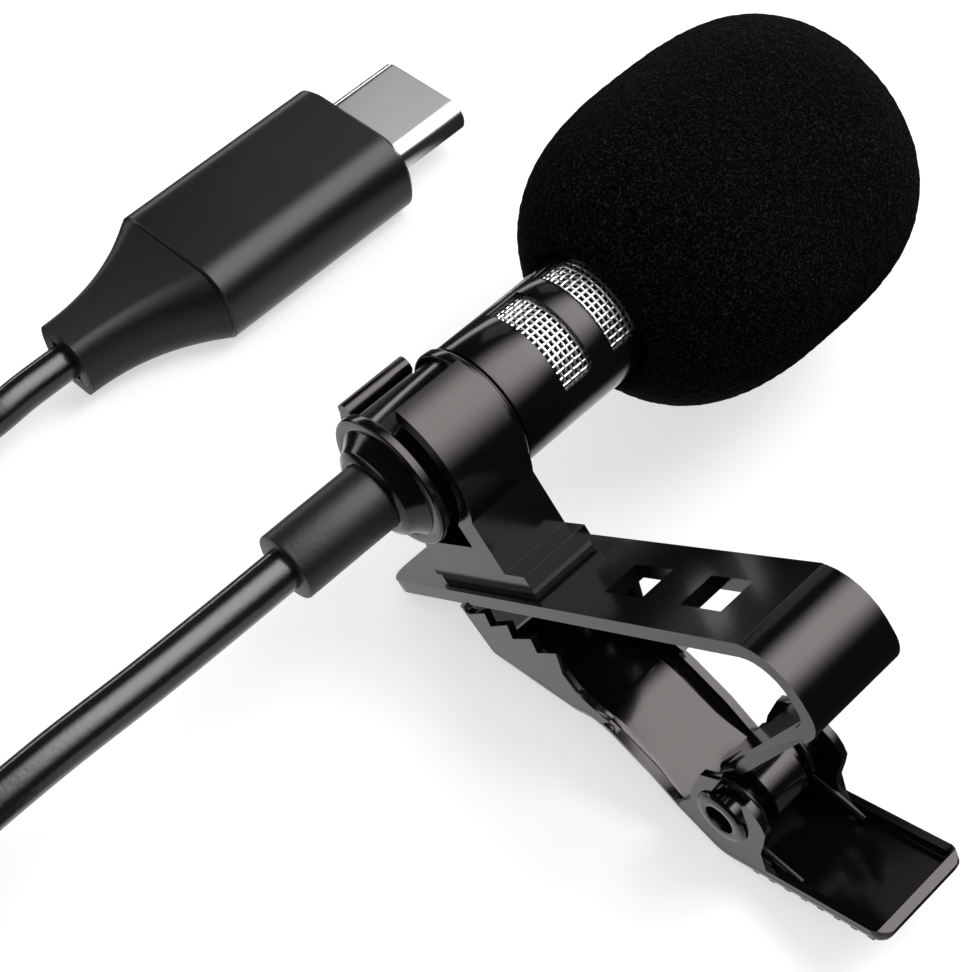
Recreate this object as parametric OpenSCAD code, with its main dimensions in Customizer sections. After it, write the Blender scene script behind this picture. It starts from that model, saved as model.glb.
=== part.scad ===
// Clip-on lavalier microphone with a sprung metal tie clip, foam windscreen,
// fixed lead and USB-C plug. Millimetres, +Z up.
// The clip lies on its lever, the capsule's axis runs along +Y, and the lead lies coiled behind.

/* [Capsule] */
// Outer diameter of the capsule body
body_d = 8.3; // [7.9:0.1:8.6]
// Front end of the capsule body, ahead of the middle of the holder groove
body_front = 15.9; // [15.5:0.1:16.4]
// Diameter of the groove that the holder grips
groove_d = 7.8; // [7.4:0.1:7.9]
// Angle of each mesh window round the body
window_angle = 102; // [90:2:110]
// Length of the rubber sleeve behind the end cone
sleeve_length = 6.5; // [5:0.1:8]

/* [Windscreen] */
// Largest diameter of the foam
foam_d = 20.3; // [18:0.1:21]
// Depth of the socket that takes the capsule
foam_socket = 4.6; // [4.5:0.1:6]

/* [Clip] */
// Width of the clip plate
plate_width = 6.2; // [5.8:0.1:6.4]
// Flat length of the clip plate before its curl
plate_length = 36.2; // [36:0.1:36.6]
// Thickness of the plate's sheet metal
plate_sheet = 0.9; // [0.7:0.05:0.9]
// Thickness of the lever's sheet metal
lever_sheet = 0.5; // [0.4:0.05:0.6]
// Angle between the table and the plate while the clip lies on its lever
rest_tilt = 36.75; // [36:0.25:37.5]

/* [Lead] */
// Diameter of the cable
cable_d = 2.6; // [2.3:0.1:2.6]
// Radius of the coil's outer turn, at the middle of the cable
coil_radius = 20.3; // [20:0.1:20.6]
// Distance between turns, and between layers, of the coil
coil_pitch = 3.02; // [3.02:0.01:3.06]

/* [Plug] */
// Width of the plug's moulded body
plug_width = 12; // [11:0.2:13]
// Thickness of the plug's moulded body
plug_height = 6.5; // [6:0.1:6.5]
// Length of the plug's moulded body
plug_length = 16.9; // [16:0.1:18]

/* [Hidden] */
$fn = 64;
e = 0.01;

// ---- Places of the main groups ----
axis_x = -12.52;          // capsule axis
axis_z = 13.87;
ring_y = -11.865;         // middle of the holder groove
seat = [10.55, 8.45];     // capsule axis in the clip's own X and Z, from the plate's end and top
pivot = [24.6, -13.4];    // lever pivot in the clip's own X and Z
plug_x = -44;
plug_y = -18.1;           // small end of the plug's strain relief
plug_z = plug_height / 2;
coil_x = -33.7;
coil_y = -62.2;

module on_axis() translate([axis_x, ring_y, axis_z]) rotate([-90, 0, 0]) children();
module on_clip()
    translate([axis_x, ring_y, axis_z]) rotate([0, -rest_tilt, 0])
        translate([-seat[0], 0, -seat[1]]) children();
module on_plug() translate([plug_x, plug_y, plug_z]) rotate([-90, 0, 0]) children();
// A side view in X and Z, thickened along Y about the middle plane or between two planes
module side_slab(y0, y1) translate([0, y1, 0]) rotate([90, 0, 0]) linear_extrude(y1 - y0) children();

// ---- Flat geometry ----
function unit(v) = v / norm(v);
function turned(v, a) = [v[0] * cos(a) - v[1] * sin(a), v[0] * sin(a) + v[1] * cos(a)];
function cross2(a, b) = a[0] * b[1] - a[1] * b[0];
function reversed(list) = [for (i = [len(list) - 1 : -1 : 0]) list[i]];
function arc(centre, r, a0, a1, n) =
    [for (k = [0 : n]) let (a = a0 + (a1 - a0) * k / n) centre + r * [cos(a), sin(a)]];
// The corner p1 of an outline, rounded to radius r in n steps
function rounded_corner(p0, p1, p2, r, n) =
    let (u = unit(p0 - p1), v = unit(p2 - p1), half = acos(u * v) / 2,
         c = p1 + unit(u + v) * r / sin(half), a = p1 + u * r / tan(half) - c,
         b = p1 + v * r / tan(half) - c, sweep = 180 - 2 * half)
    [for (k = [0 : n]) c + turned(a, sign(cross2(a, b)) * sweep * k / n)];
function rounded_path(p, r, n = 5) = [
    p[0],
    for (i = [1 : len(p) - 2]) each r[i] == 0 ? [p[i]] : rounded_corner(p[i - 1], p[i], p[i + 1], r[i], n),
    p[len(p) - 1]
];
function seg_normal(a, b) = let (d = unit(b - a)) [-d[1], d[0]];
function path_normal(p, i) =
    i == 0 ? seg_normal(p[0], p[1]) :
    i == len(p) - 1 ? seg_normal(p[i - 1], p[i]) :
    let (a = seg_normal(p[i - 1], p[i]), b = seg_normal(p[i], p[i + 1]), m = unit(a + b)) m / (m * a);
function shifted(p, d) = [for (i = [0 : len(p) - 1]) p[i] + d * path_normal(p, i)];
module strip(path, d) polygon(concat(path, reversed(shifted(path, d))));
module rounded_slab(w, h, r) {
    square([w - 2 * r, h], center = true);
    square([w, h - 2 * r], center = true);
    for (x = [-1, 1], y = [-1, 1]) translate([x * (w / 2 - r), y * (h / 2 - r)]) circle(r);
}
module stadium(w, h) {
    square([w - h, h], center = true);
    for (x = [-1, 1]) translate([x * (w - h) / 2, 0]) circle(h / 2);
}

// ---- Tubes swept along points ----
function tangent(p, i) = unit(p[min(i + 1, len(p) - 1)] - p[max(i - 1, 0)]);
// Across the tube: level, unless the run is along hint
function ring_points(c, t, r, sides, hint) =
    let (s = unit(cross(t, hint)), u = cross(s, t))
    [for (k = [0 : sides - 1]) c + r * (cos(360 * k / sides) * s + sin(360 * k / sides) * u)];
module tube(p, r, sides, hint = [0, 0, 1]) {
    n = len(p);
    points = [for (i = [0 : n - 1]) each ring_points(p[i], tangent(p, i), r, sides, hint)];
    wall = [for (i = [0 : n - 2], k = [0 : sides - 1])
        let (a = i * sides + k, b = i * sides + (k + 1) % sides)
        each [[a, b, a + sides], [b, b + sides, a + sides]]];
    caps = [for (k = [1 : sides - 2]) each [[0, k + 1, k],
        [(n - 1) * sides, (n - 1) * sides + k, (n - 1) * sides + k + 1]]];
    polyhedron(points, concat(wall, caps), convexity = 10);
}
function path_length(p) = [for (i = [1 : len(p) - 1]) norm(p[i] - p[i - 1])] * [for (i = [1 : len(p) - 1]) 1];
// Least distance between two points of a path that are at least skip points apart
function least_distance(p, skip) =
    min([for (i = [0 : len(p) - 1 - skip]) min([for (j = [i + skip : len(p) - 1]) norm(p[i] - p[j])])]);

// ==== Capsule ====
body_r = body_d / 2;
groove_r = groove_d / 2;
flange_rear = [-3.75, -3.05];   // rear flange, from and to
flange_front = [2.45, 3.2];
rear_bore_r = 3.5;
front_bore_r = 3.75;
bore_step = 3;                  // where the narrow rear bore meets the wide front bore
windows = [[6.8, 9.1], [10.7, 12.9]];
window_start = -122;
screen_wall = 0.15;
cloth_wall = 0.1;

module capsule_housing() color("#161617") on_axis() difference() {
    rotate_extrude($fn = 96) polygon([
        [rear_bore_r, flange_rear[0]], [4.27, flange_rear[0]], [4.37, flange_rear[0] + 0.1],
        [4.37, flange_rear[1] - 0.1], [4.27, flange_rear[1]], [groove_r, flange_rear[1]],
        [groove_r, flange_front[0]], [4.3, flange_front[0]], [4.4, flange_front[0] + 0.1],
        [4.4, flange_front[1] - 0.1], [4.3, flange_front[1]], [3.95, flange_front[1]],
        [3.95, flange_front[1] + 0.25], [body_r, flange_front[1] + 0.25], [body_r, body_front], [front_bore_r, body_front], [front_bore_r, bore_step], [rear_bore_r, bore_step]
    ]);
    for (w = windows, side = [0, 180])
        rotate([0, 0, window_start + side])
            rotate_extrude(angle = window_angle, $fn = 96)
                translate([front_bore_r - 0.3, w[0]]) square([1, w[1] - w[0]]);
}

module mesh_screen() color("#c9c9cc") on_axis() translate([0, 0, bore_step]) difference() {
    cylinder(r = front_bore_r, h = body_front - bore_step);
    translate([0, 0, -1]) cylinder(r = front_bore_r - screen_wall, h = body_front);
}

// Thin black cloth that lines the mesh and keeps the windows dark
module acoustic_cloth() color("#101011") on_axis() translate([0, 0, bore_step]) difference() {
    cylinder(r = front_bore_r - screen_wall, h = body_front - 0.9 - bore_step);
    translate([0, 0, -1]) cylinder(r = inner_r, h = body_front);
}

cap_thick = 0.6;
module front_cap() color("#1c1c1e") on_axis() difference() {
    rotate_extrude() polygon([
        [0, body_front], [2.9, body_front], [2.9, body_front - 0.9],
        [front_bore_r - screen_wall, body_front - 0.9],
        [front_bore_r - screen_wall, body_front], [body_r, body_front], [body_r, body_front + cap_thick - 0.3],
        [body_r - 0.3, body_front + cap_thick], [0, body_front + cap_thick]
    ]);
    translate([0, 0, body_front - 1]) cylinder(r = 0.35, h = 3);
    for (a = [0 : 60 : 300]) rotate([0, 0, a]) translate([1.7, 0, body_front - 1]) cylinder(r = 0.35, h = 3);
}

board_back = 8.6;
board_front = 9.2;
can_front = 14;
inner_r = front_bore_r - screen_wall - cloth_wall;
module electret_capsule() color("#b5b5b8") on_axis() difference() {
    translate([0, 0, board_front]) cylinder(r = 3, h = can_front - board_front);
    translate([0, 0, can_front - 0.4]) cylinder(r = 2.4, h = 1);
    translate([0, 0, can_front - 1]) cylinder(r = 0.5, h = 1);
}
module capsule_gasket() color("#2a2a2c") on_axis() translate([0, 0, 10.4]) difference() {
    cylinder(r = inner_r, h = 2.6);
    translate([0, 0, -1]) cylinder(r = 3, h = 5);
}
module capsule_board() color("#1f5a35") on_axis() translate([0, 0, board_back]) {
    cylinder(r = inner_r, h = board_front - board_back);
    for (x = [-0.9, 0.9]) translate([x - 0.4, 0.9, -0.5]) cube([0.8, 0.5, 0.5]);
}
wire_from = -1.2;
module capsule_wires() color("#a33028") on_axis() for (x = [-0.5, 0.5])
    translate([x, 0, wire_from]) cylinder(r = 0.28, h = board_back - wire_from, $fn = 24);

cone_end = -4.97;
sleeve_r = 2.15;
collar_r = 2.7;
collar = [-3.6, -3];
module rear_cone() color("#161617") on_axis() rotate_extrude() polygon([
    [sleeve_r, cone_end], [2.45, cone_end], [2.9, -4.72], [3.13, -4.32],
    [3.67, flange_rear[0]], [rear_bore_r, flange_rear[0]], [rear_bore_r, -1], [collar_r, -1],
    [collar_r, collar[0]], [sleeve_r, collar[0]]
]);
sleeve_end = cone_end - sleeve_length;
module strain_relief() color("#2b2b2d") on_axis() rotate_extrude() polygon([
    [cable_d / 2, sleeve_end], [sleeve_r - 0.15, sleeve_end], [sleeve_r, sleeve_end + 0.15],
    [sleeve_r, collar[0]], [collar_r, collar[0]], [collar_r, collar[1]], [cable_d / 2, collar[1]]
]);
module cable_crimp() color("#b08d57") on_axis() rotate_extrude() polygon([
    [cable_d / 2, collar[1]], [2, collar[1]], [2, collar[1] + 1.4], [cable_d / 2, collar[1] + 1.4]
]);
module cable_end() color("#101011") on_axis()
    translate([0, 0, sleeve_end]) cylinder(d = cable_d, h = wire_from - sleeve_end);

// ==== Windscreen: foam ball, a little longer than wide, with a socket ====
foam_middle = 23.4;       // where the foam is widest
foam_tip = 11.8;          // from the middle to the tip
foam_back = 11.8;         // from the middle to where the back would close
foam_rim = 12.3;          // the open end
foam_mouth_r = 4.9;
foam_socket_r = body_r + 0.05;
function swell(t, power) = pow(max(0, 1 - pow(t, power)), 1 / power);
foam_outline = concat(
    [for (k = [1 : 9]) let (z = foam_middle - foam_back * cos(15 + 75 * k / 9))
        [foam_d / 2 * swell((foam_middle - z) / foam_back, 2.6), z]],
    [for (k = [1 : 13]) let (z = foam_middle + foam_tip * sin(90 * k / 14))
        [foam_d / 2 * swell((z - foam_middle) / foam_tip, 3.2), z]]
);
module windscreen() color("#1d1d20") on_axis() rotate_extrude($fn = 72) polygon(concat(
    [[0, foam_rim + foam_socket], [foam_socket_r, foam_rim + foam_socket], [foam_socket_r, foam_rim + 0.9],
     [foam_mouth_r, foam_rim]],
    foam_outline, [[0, foam_middle + foam_tip]]
));

// ==== Clip: holder ring on its block ====
holder_half = 2.4;
ring_inner_r = groove_r + 0.05;
ring_outer_r = 5.4;
ring_gap = [50, 130];          // open part of the ring, degrees from the clip's +X
block_x = [-3.8, 4.1];         // from the capsule axis
foot_x = [-4.9, 6.2];
foot_bottom = 0.45;            // above the plate
foot_top = 1.35;
notch_half = 2.2;
notch_floor = -5.4;            // from the capsule axis
rivet_x = [9.9, 12.9];
rivet_r = 0.6;
rivet_top = 2.2;
lip_r = 0.6;

module holder_side() difference() {
    union() {
        translate([seat[0], seat[1]]) difference() {
            circle(r = ring_outer_r, $fn = 96);
            polygon(concat([[0, 0]], arc([0, 0], 9, ring_gap[0], ring_gap[1], 8)));
        }
        translate([seat[0] + block_x[0], foot_top - e]) square([block_x[1] - block_x[0], seat[1] - foot_top - 3.4]);
        translate([seat[0] + foot_x[0], foot_bottom]) square([foot_x[1] - foot_x[0], foot_top - foot_bottom]);
        translate([seat[0], seat[1]] + 4.95 * [cos(ring_gap[1]), sin(ring_gap[1])]) circle(lip_r, $fn = 24);
    }
    translate([seat[0], seat[1]]) circle(r = ring_inner_r, $fn = 96);
    translate([seat[0] - notch_half, seat[1] + notch_floor]) square([2 * notch_half, 3]);
}
module mic_holder() color("#1a1a1c") on_clip() difference() {
    side_slab(-holder_half, holder_half) holder_side();
    for (s = [-1, 1]) translate([seat[0], s * holder_half, seat[1]]) rotate([s * 90, 0, 0])
        cylinder(r1 = ring_inner_r + 0.45, r2 = ring_inner_r, h = 0.45, $fn = 96);
    for (x = rivet_x) translate([x, 0, foot_bottom - 1])
        cylinder(r = rivet_r, h = 1 + rivet_top - foot_bottom, $fn = 32);
}
module holder_pad() color("#0e0e0f") on_clip() difference() {
    translate([seat[0] + foot_x[0] + 0.3, -holder_half + 0.1, 0])
        cube([foot_x[1] - foot_x[0] - 0.6, 2 * holder_half - 0.2, foot_bottom]);
    for (x = rivet_x) translate([x, 0, -1]) cylinder(r = rivet_r, h = 3, $fn = 32);
}
module holder_rivets() color("#2e2e30") on_clip() for (x = rivet_x) {
    translate([x, 0, -plate_sheet]) cylinder(r = rivet_r, h = rivet_top + plate_sheet, $fn = 32);
    translate([x, 0, -plate_sheet - 0.35]) cylinder(r1 = 0.7, r2 = 0.95, h = 0.35, $fn = 32);
}

// ==== Clip: plate, curl, tongue and barrel from one strip of sheet metal ====
plate_half = plate_width / 2;
end_r = 1.35;
slots = [[22.2, 25.7], [29.2, 32.7]];
slot_half = 1.2;
tongue_angle = 26;
tongue_half = 2.3;
barrel_half = 1.2;
barrel_r = 2.1;
tube_r = 1.25;
tongue_dir = [cos(tongue_angle), sin(tongue_angle)];
tongue_up = [-sin(tongue_angle), cos(tongue_angle)];
tongue_low = barrel_r - plate_sheet;        // underside of the tongue, from the pivot
curl_x = plate_length + 2.6;
curl_foot = (curl_x - pivot[0] + tongue_low * sin(tongue_angle)) / tongue_dir[0];
function on_tongue(s) = pivot + s * tongue_dir + tongue_low * tongue_up;
curl_path = rounded_path(
    [[plate_length - 0.6, 0], [curl_x, 0], on_tongue(curl_foot), on_tongue(curl_foot - 2)], [0, 3.1, 2, 0], 7);

module clip_plate() color("#19191b") on_clip() difference() {
    union() {
        translate([0, 0, -plate_sheet]) linear_extrude(plate_sheet) difference() {
            union() {
                translate([end_r, -plate_half]) square([plate_length - end_r, plate_width]);
                translate([-0.1, end_r - plate_half]) square([2, plate_width - 2 * end_r]);
                for (s = [-1, 1]) translate([end_r - 0.1, s * (plate_half - end_r)]) circle(end_r);
            }
            for (s = slots) translate([s[0], -slot_half]) square([s[1] - s[0], 2 * slot_half]);
        }
        side_slab(-plate_half, plate_half) strip(curl_path, -plate_sheet);
        side_slab(-tongue_half, tongue_half) strip([on_tongue(curl_foot - 1.9), on_tongue(3.2)], -plate_sheet);
        side_slab(-barrel_half, barrel_half) {
            strip([on_tongue(3.3), on_tongue(0)], -plate_sheet);
            translate(pivot) circle(barrel_r);
        }
    }
    translate([pivot[0], 5, pivot[1]]) rotate([90, 0, 0]) cylinder(r = tube_r, h = 10);
    for (x = rivet_x) translate([x, 0, -2]) cylinder(r = rivet_r, h = 3, $fn = 32);
}

lever_half = 3.35;
tube_half = lever_half + 0.05;
flare_r = 1.75;
module pivot_tube() color("#3a3a3d") on_clip()
    translate([pivot[0], 0, pivot[1]]) rotate([90, 0, 0]) difference() {
        union() {
            cylinder(r = tube_r, h = 2 * tube_half, center = true);
            for (s = [0, 1]) mirror([0, 0, s]) translate([0, 0, tube_half])
                cylinder(r1 = flare_r, r2 = flare_r - 0.15, h = 0.25);
        }
        cylinder(r = 0.95, h = 20, center = true);
    }

// ==== Clip: double torsion spring on the pivot tube ====
wire_r = 0.2;
wind_r = 1.65;
wind_y = [2.6, 1.45];                    // coil's outer and inner end
leg_foot = [27.2, -18.17];               // on the lever's thumb plate
bar_at = pivot + 4 * tongue_dir + 0.95 * tongue_up;
// Where a straight wire from point q meets the coil, on the side given by s
function meets_coil(q, s) = let (v = q - pivot) atan2(v[1], v[0]) + s * acos(wind_r / norm(v));
wind_start = meets_coil(leg_foot, -1);
wind_sweep = meets_coil(bar_at, 1) - 720 - wind_start;
function in_clip(q, y) = [q[0], y, q[1]];
spring_half = concat(
    [in_clip(leg_foot, wind_y[0]),
     in_clip((leg_foot + pivot + wind_r * [cos(wind_start), sin(wind_start)]) / 2, wind_y[0])],
    [for (k = [0 : 24]) let (a = wind_start + wind_sweep * k / 24)
        in_clip(pivot + wind_r * [cos(a), sin(a)], wind_y[0] + (wind_y[1] - wind_y[0]) * k / 24)],
    [in_clip(bar_at - 0.5 * tongue_dir, wind_y[1]), in_clip(bar_at, wind_y[1] - 0.4)]
);
spring_path = concat(spring_half, reversed([for (q = spring_half) [q[0], -q[1], q[2]]]));
echo(spring_least_gap = least_distance(spring_path, 9) - 2 * wire_r);
module torsion_spring() color("#8d8d90") on_clip() spring_wire(spring_path);
module spring_wire(p) {
    n = len(p);
    sides = 6;
    t = [for (i = [0 : n - 1]) tangent(p, i)];
    // Each ring's side direction is carried on from the one before, so the wire never twists
    s = [for (i = 0, v = unit(cross(t[0], [0, 1, 0])); i < n;
        i = i + 1, v = i < n ? unit(v - (v * t[i]) * t[i]) : v) v];
    points = [for (i = [0 : n - 1]) let (u = cross(s[i], t[i]))
        each [for (k = [0 : sides - 1]) p[i] + wire_r * (cos(60 * k) * s[i] + sin(60 * k) * u)]];
    wall = [for (i = [0 : n - 2], k = [0 : sides - 1])
        let (a = i * sides + k, b = i * sides + (k + 1) % sides)
        each [[a, b, a + sides], [b, b + sides, a + sides]]];
    caps = [for (k = [1 : sides - 2]) each [[0, k + 1, k],
        [(n - 1) * sides, (n - 1) * sides + k, (n - 1) * sides + k + 1]]];
    polyhedron(points, concat(wall, caps), convexity = 10);
}

// ==== Lever: toothed jaw, channel, ears and thumb plate from one piece of sheet ====
notch_angle = 34;
thumb_r = 1.1;            // corners of the thumb plate
thumb_end = [33.25, -20.75];
thumb_slope = atan2(-20.75 + 17.2, 33.25 - 21.45);
upright = [lever_half, 0.8];    // half width and outer bend radius where the walls stand up
trough = [3.35, 1.2];           // the same along the low, rounded middle
// Along the outside from the front's top to the thumb lip: [[x, z], rounding, section]
lever_run = [
    [[7.8, -1.1], 0, upright], [[8.3, -4.8], 1.1, upright], [[14.6, -8.12], 0, upright],
    [[16.45, -9.1], 3, trough], [[18.3, -12.1], 0, trough], [[19.5, -14.04], 0, upright],
    [[21.45, -17.2], 2.5, upright], [thumb_end, 1.1, upright], [[33.6, -19.5], 0, upright]
];
corner_steps = 4;
lever_path = rounded_path([for (c = lever_run) c[0]], [for (c = lever_run) c[1]], corner_steps);
lever_section = [for (c = lever_run) each c[1] == 0 ? [c[2]] : [for (k = [0 : corner_steps]) c[2]]];
// Foot of the walls, from the path's point i to point j
function wall_foot(i, j) =
    [for (k = [i : j]) lever_path[k] + (lever_section[k][1] + 0.05) * path_normal(lever_path, k)];
jaw_teeth = [
    [8.75, -1.36], [9.1, -1.45], [11.1, -1.15], [10.8, -2.15], [13.1, -1.75], [12.7, -2.8],
    [15, -2.5], [14.7, -3.55], [17, -3.25], [16.2, -4.85], [16.4, -6.2], [17.2, -7.1], [18.1, -8]
];
ear_top = [
    [20.95, -13.15], [22, -12.8], [23, -11.8], [24.9, -10.4], [26.4, -10.4], [27.9, -12.75],
    [28.05, -13.3], [27.9, -14], [27.2, -14.75], [26.2, -15.7], [25.6, -17.1], [32.75, -19.28]
];
// The ears' hooked tips, which keep the tube in its notches
ear_hook = [[26.5, -13.9], [27, -12.7], [27.25, -12.1], [27.72, -11.95], [28, -12.6], [28.05, -13.3]];
// The lip's top slants down outwards
lip_top = [33.12, -19.36];
lip_slant = -50.75;
module lever_side() {
    polygon(concat(jaw_teeth, reversed(wall_foot(1, 9))));
    difference() {
        union() {
            difference() {
                polygon(concat(ear_top, reversed(wall_foot(13, len(lever_path) - 2))));
                translate(pivot) rotate(notch_angle) translate([0, -tube_r - 0.05]) square([5, 2 * tube_r + 0.1]);
            }
            polygon(ear_hook);
        }
        translate(pivot) circle(r = tube_r + 0.05);
    }
}
// Floor with its bent-up edges, as [across, up from the outside] going round the section
function channel(w, r) = let (t = lever_sheet, c = w - r) concat(
    [[-w, r + 0.1]], arc([-c, r], r, 180, 270, 4), arc([c, r], r, 270, 360, 4), [[w, r + 0.1]],
    [[w - t, r + 0.1]], arc([c, r], r - t, 360, 270, 4), arc([-c, r], r - t, 270, 180, 4), [[t - w, r + 0.1]]);
module channel_along(p, section) {
    n = len(p);
    m = len(channel(3, 1));
    points = [for (i = [0 : n - 1]) let (v = path_normal(p, i))
        each [for (q = channel(section[i][0], section[i][1])) [p[i][0] + q[1] * v[0], q[0], p[i][1] + q[1] * v[1]]]];
    wall = [for (i = [0 : n - 2], k = [0 : m - 1]) let (a = i * m + k, b = i * m + (k + 1) % m)
        each [[a, a + m, b], [b, a + m, b + m]]];
    first = [for (k = [0 : m / 2 - 2]) each [[k, k + 1, m - 1 - k], [k + 1, m - 2 - k, m - 1 - k]]];
    last = [for (t = first) [for (k = [2 : -1 : 0]) t[k] + (n - 1) * m]];
    polyhedron(points, concat(wall, first, last), convexity = 10);
}
module clip_lever() color("#19191b") on_clip() difference() {
    union() {
        channel_along(lever_path, lever_section);
        side_slab(e - lever_half, lever_sheet - lever_half - e) lever_side();
        side_slab(lever_half - lever_sheet + e, lever_half - e) lever_side();
    }
    translate([lip_top[0], -5, lip_top[1]]) rotate([0, -lip_slant, 0]) translate([-0.3, 0, 0]) cube([3, 10, 2]);
    translate([thumb_end[0], 0, thumb_end[1]]) rotate([0, -thumb_slope, 0]) for (s = [0, 1]) mirror([0, s, 0])
        translate([0, 0, -1]) linear_extrude(4) difference() {
            translate([-thumb_r, lever_half - thumb_r]) square(thumb_r + 1);
            translate([-thumb_r, lever_half - thumb_r]) circle(thumb_r, $fn = 48);
        }
}

// ==== Lead ====
// Heights are of the cable's middle; both runs end one straight stretch short of the coil
mic_route = [
    [axis_x, ring_y + sleeve_end, axis_z], [-12.52, -27.9, 13.87], [-12.6, -33.5, 13.85],
    [-12.9, -39.5, 13.7], [-13.2, -45.5, 13.1], [-13.35, -51, 12.1], [-13.4, -54.5, 11.3],
    [-13.4, -57.1, 10.91], [-13.4, coil_y + cable_d, 10.91]
];
plug_route = [
    [-54, coil_y + cable_d, 1.85], [-54, -56.2, 1.85], [-54, -51, 1.55], [-53.8, -45.5, 1.35],
    [-52.6, -40.5, 1.32], [-50, -36, 1.32], [-47, -31.8, 1.45], [-44.9, -27.7, 2.1], [-44.1, -24.5, 2.9],
    [-44, -21.7, 3.25], [-44, plug_y, 3.25]
];
coil_low = 1.85;
coil_turns = 15.5;
leg_turns = coil_turns / 4;
// Turns round the coil spiral in, out, in and out again, one leg per layer
function coil_r(t) = let (leg = floor(min(t, coil_turns - e) / leg_turns), part = t / leg_turns - leg)
    coil_radius - coil_pitch * leg_turns * (leg % 2 == 0 ? part : 1 - part);
// Layers still to come down at turn t; each step takes the half turn where the spiral reverses
function ease(x) = let (c = max(0, min(1, x))) c * c * (3 - 2 * c);
function step_down(t, leg) = ease(2 * (t - leg * leg_turns) + 0.5);
function coil_layer(t) = 3 - step_down(t, 1) - step_down(t, 2) - step_down(t, 3);
function coil_point(t) = [coil_x + coil_r(t) * cos(-360 * t), coil_y + coil_r(t) * sin(-360 * t),
    coil_low + coil_pitch * coil_layer(t)];
coil_steps = coil_turns * 24;
coil_path = concat(
    [[coil_x + coil_radius, coil_y + cable_d, coil_low + 3 * coil_pitch]],
    [for (k = [0 : coil_steps]) coil_point(k / 24)],
    [[coil_x - coil_radius, coil_y + cable_d, coil_low]]
);
echo(coil_least_gap = least_distance(coil_path, 12) - cable_d);
echo(lead_length = path_length(mic_route) + path_length(coil_path) + path_length(plug_route));

module cable_mic_run() color("#0f0f10") tube(mic_route, cable_d / 2, 8);
module cable_plug_run() color("#0f0f10") tube(plug_route, cable_d / 2, 8);
module cable_coil() color("#0f0f10") tube(coil_path, cable_d / 2, 6);

tie_sheet = 0.5;
tie_room = 0.05;
coil_inner = coil_radius - coil_pitch * leg_turns;
tie_in = coil_inner - cable_d / 2 - tie_room;
tie_out = coil_radius + cable_d / 2 + tie_room;
tie_top = coil_low + 3 * coil_pitch + cable_d / 2 + tie_room;
tie_width = 5;
module cable_tie() color("#202022")
    translate([coil_x - tie_width / 2, coil_y, 0]) rotate([90, 0, 90]) linear_extrude(tie_width) difference() {
        translate([-tie_out - tie_sheet, 0]) square([tie_out - tie_in + 2 * tie_sheet, tie_top + tie_sheet]);
        translate([-tie_out, tie_sheet]) square([tie_out - tie_in, tie_top - tie_sheet]);
    }

// ==== Plug ====
relief_length = 9.6;
relief_small_r = 2.4;
body_back = relief_length;
body_end = body_back + plug_length;
shell_w = 8.34;
shell_h = 2.56;
shell_sheet = 0.3;
shell_back = body_end - 4;
shell_front = body_end + 6.7;
edge_r = 2.9;
cavity = [9.2, 3.6];

// Outline of the relief at part t of its length, from the cable to the plug's body
function relief_flare(t) = pow(t, 2.2);
function relief_w(t) = relief_small_r + (plug_width / 2 - relief_small_r) * relief_flare(t);
function relief_h(t) = relief_small_r + (plug_height / 2 - relief_small_r) * relief_flare(t);
function slab_point(w, h, r, k, n) =
    let (a = 360 * (k + 0.5) / n, c = cos(a), s = sin(a))
    [sign(c) * (w - r) + r * c, sign(s) * (h - r) + r * s];
relief_sides = 24;
relief_rings = 8;
module plug_strain_relief() color("#121213") on_plug() difference() {
    polyhedron(
        points = [for (j = [0 : relief_rings], k = [0 : relief_sides - 1])
            let (t = j / relief_rings, r = relief_small_r + (edge_r - relief_small_r) * t,
                 q = slab_point(relief_w(t), relief_h(t), min(r, relief_h(t)), k, relief_sides))
            [q[0], q[1], relief_length * t]],
        faces = concat(
            [for (j = [0 : relief_rings - 1], k = [0 : relief_sides - 1])
                let (a = j * relief_sides + k, b = j * relief_sides + (k + 1) % relief_sides)
                each [[a, a + relief_sides, b], [b, a + relief_sides, b + relief_sides]]],
            [for (k = [1 : relief_sides - 2]) each [[0, k, k + 1],
                [relief_rings * relief_sides, relief_rings * relief_sides + k + 1, relief_rings * relief_sides + k]]]
        ));
    translate([0, 0, -1]) cylinder(d = cable_d, h = relief_length + 2);
}
cable_reach = body_back + 2;
module plug_cable_end() color("#0f0f10") on_plug() cylinder(d = cable_d, h = cable_reach);
module plug_body() color("#19191a") on_plug() difference() {
    translate([0, 0, body_back]) linear_extrude(plug_length) rounded_slab(plug_width, plug_height, edge_r);
    translate([-cavity[0] / 2, -cavity[1] / 2, cable_reach]) cube([cavity[0], cavity[1], shell_back + 0.6 - cable_reach]);
    translate([0, 0, body_back - 1]) cylinder(d = cable_d, h = 4);
    translate([0, 0, shell_back]) linear_extrude(10) stadium(shell_w, shell_h);
}
module plug_shell() color("#c8c8ca") on_plug()
    translate([0, 0, shell_back]) linear_extrude(shell_front - shell_back) difference() {
        stadium(shell_w, shell_h);
        stadium(shell_w - 2 * shell_sheet, shell_h - 2 * shell_sheet);
    }
port = [6.9, 0.95];
port_back = shell_front - 5.4;
module plug_insulator() color("#141414") on_plug() difference() {
    translate([0, 0, shell_back]) linear_extrude(shell_front - 0.2 - shell_back)
        stadium(shell_w - 2 * shell_sheet, shell_h - 2 * shell_sheet);
    translate([-port[0] / 2, -port[1] / 2, port_back]) cube([port[0], port[1], 8]);
}
contact = [0.25, 0.12, 4];
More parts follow.
